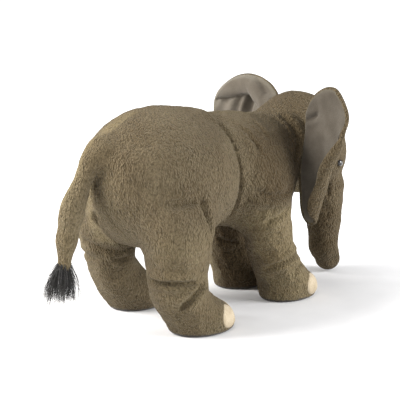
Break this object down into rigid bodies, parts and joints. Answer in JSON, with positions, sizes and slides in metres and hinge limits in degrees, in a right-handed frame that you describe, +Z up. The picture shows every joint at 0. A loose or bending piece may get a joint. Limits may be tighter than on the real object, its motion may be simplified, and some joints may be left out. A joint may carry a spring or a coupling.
{
  "type": "stuffed elephant",
  "caption": "Stuffed toy elephant of pile cloth that stands on padded legs, with wide ears, a hanging trunk and a tufted tail, all flexing at their seams.",
  "frame": {"origin": "on the ground under the middle of the toy's outer box", "axes": "+Z up, the elephant faces -Y, its left side is +X"},
  "size_m": [0.224, 0.404, 0.2331],
  "materials": {
    "plush": "short dense pile, taupe brown",
    "ear_velour": "smooth short velour, grey taupe",
    "sole_cloth": "short pile, worn flat",
    "toenail_cloth": "smooth cream cloth",
    "tuft_hair": "long black hair",
    "fibre_filling": "white polyester fibre",
    "eye_bead": "polished black",
    "washer_plastic": "moulded white"
  },
  "bodies": {
    "torso": {"torso_filling": "fibre_filling", "side_panel_left": "plush", "side_panel_right": "plush", "belly_gusset": "plush"},
    "neck": {"neck_skin": "plush", "neck_filling": "fibre_filling"},
    "head": {"head_filling": "fibre_filling", "head_panel_left": "plush", "head_panel_right": "plush", "forehead_gusset": "plush", "lower_lip": "plush", "eye_left": "eye_bead", "eye_right": "eye_bead", "eye_washer_left": "washer_plastic", "eye_washer_right": "washer_plastic"},
    "trunk_upper": {"trunk_upper_skin": "plush", "trunk_upper_filling": "fibre_filling"},
    "trunk_lower": {"trunk_lower_skin": "plush", "trunk_lower_filling": "fibre_filling", "trunk_tip_panel": "plush"},
    "tail_upper": {"tail_upper_skin": "plush", "tail_upper_filling": "fibre_filling"},
    "tail_lower": {"tail_lower_skin": "plush", "tail_lower_filling": "fibre_filling", "tail_tuft": "tuft_hair"},
    "ear_left": {"ear_front_panel_left": "plush", "ear_padding_left": "fibre_filling", "ear_back_panel_left": "ear_velour"},
    "rear_leg_left": {"rear_leg_skin_left": "plush", "rear_leg_filling_left": "fibre_filling", "rear_leg_sole_left": "sole_cloth", "rear_leg_toenails_left": "toenail_cloth"},
    "front_leg_left": {"front_leg_skin_left": "plush", "front_leg_filling_left": "fibre_filling", "front_leg_sole_left": "sole_cloth", "front_leg_toenails_left": "toenail_cloth"},
    "ear_right": {"ear_front_panel_right": "plush", "ear_padding_right": "fibre_filling", "ear_back_panel_right": "ear_velour"},
    "rear_leg_right": {"rear_leg_skin_right": "plush", "rear_leg_filling_right": "fibre_filling", "rear_leg_sole_right": "sole_cloth", "rear_leg_toenails_right": "toenail_cloth"},
    "front_leg_right": {"front_leg_skin_right": "plush", "front_leg_filling_right": "fibre_filling", "front_leg_sole_right": "sole_cloth", "front_leg_toenails_right": "toenail_cloth"}
  },
  "joints": [
    {"name": "neck_nod", "type": "hinge", "parent": "torso", "child": "neck", "pos_m": [0, -0.086, 0.152], "axis": [1, 0, 0], "range_deg": [-8, 5], "stiffness_Nm_per_rad": 2},
    {"name": "head_turn", "type": "hinge", "parent": "neck", "child": "head", "pos_m": [0, -0.086, 0.152], "axis": [0, 0, 1], "range_deg": [-10, 10], "stiffness_Nm_per_rad": 1},
    {"name": "trunk_lift", "type": "hinge", "parent": "head", "child": "trunk_upper", "pos_m": [0, -0.167, 0.121], "axis": [-1, 0, 0], "range_deg": [-2, 20], "stiffness_Nm_per_rad": 0.15},
    {"name": "trunk_curl", "type": "hinge", "parent": "trunk_upper", "child": "trunk_lower", "pos_m": [0, -0.171, 0.074], "axis": [-1, 0, 0], "range_deg": [-4, 25], "stiffness_Nm_per_rad": 0.08},
    {"name": "ear_left_flap", "type": "hinge", "parent": "head", "child": "ear_left", "pos_m": [0.047, -0.105, 0.17], "axis": [0, 0, 1], "range_deg": [-15, 12], "stiffness_Nm_per_rad": 0.05},
    {"name": "ear_right_flap", "type": "hinge", "parent": "head", "child": "ear_right", "pos_m": [-0.047, -0.105, 0.17], "axis": [0, 0, -1], "range_deg": [-15, 12], "stiffness_Nm_per_rad": 0.05},
    {"name": "tail_lift", "type": "hinge", "parent": "torso", "child": "tail_upper", "pos_m": [0, 0.154, 0.179], "axis": [1, 0, 0], "range_deg": [-2, 40], "stiffness_Nm_per_rad": 0.05},
    {"name": "tail_wag", "type": "hinge", "parent": "tail_upper", "child": "tail_lower", "pos_m": [0, 0.181, 0.117], "axis": [0, 1, 0], "range_deg": [-25, 25], "stiffness_Nm_per_rad": 0.02},
    {"name": "rear_leg_left_swing", "type": "hinge", "parent": "torso", "child": "rear_leg_left", "pos_m": [0.046, 0.082, 0.098], "axis": [1, 0, 0], "range_deg": [-10, 10], "stiffness_Nm_per_rad": 3},
    {"name": "rear_leg_right_swing", "type": "hinge", "parent": "torso", "child": "rear_leg_right", "pos_m": [-0.046, 0.082, 0.098], "axis": [1, 0, 0], "range_deg": [-10, 10], "stiffness_Nm_per_rad": 3},
    {"name": "front_leg_left_swing", "type": "hinge", "parent": "torso", "child": "front_leg_left", "pos_m": [0.036, -0.052, 0.092], "axis": [1, 0, 0], "range_deg": [-6, 10], "stiffness_Nm_per_rad": 3},
    {"name": "front_leg_right_swing", "type": "hinge", "parent": "torso", "child": "front_leg_right", "pos_m": [-0.036, -0.052, 0.092], "axis": [1, 0, 0], "range_deg": [-6, 10], "stiffness_Nm_per_rad": 3}
  ]
}
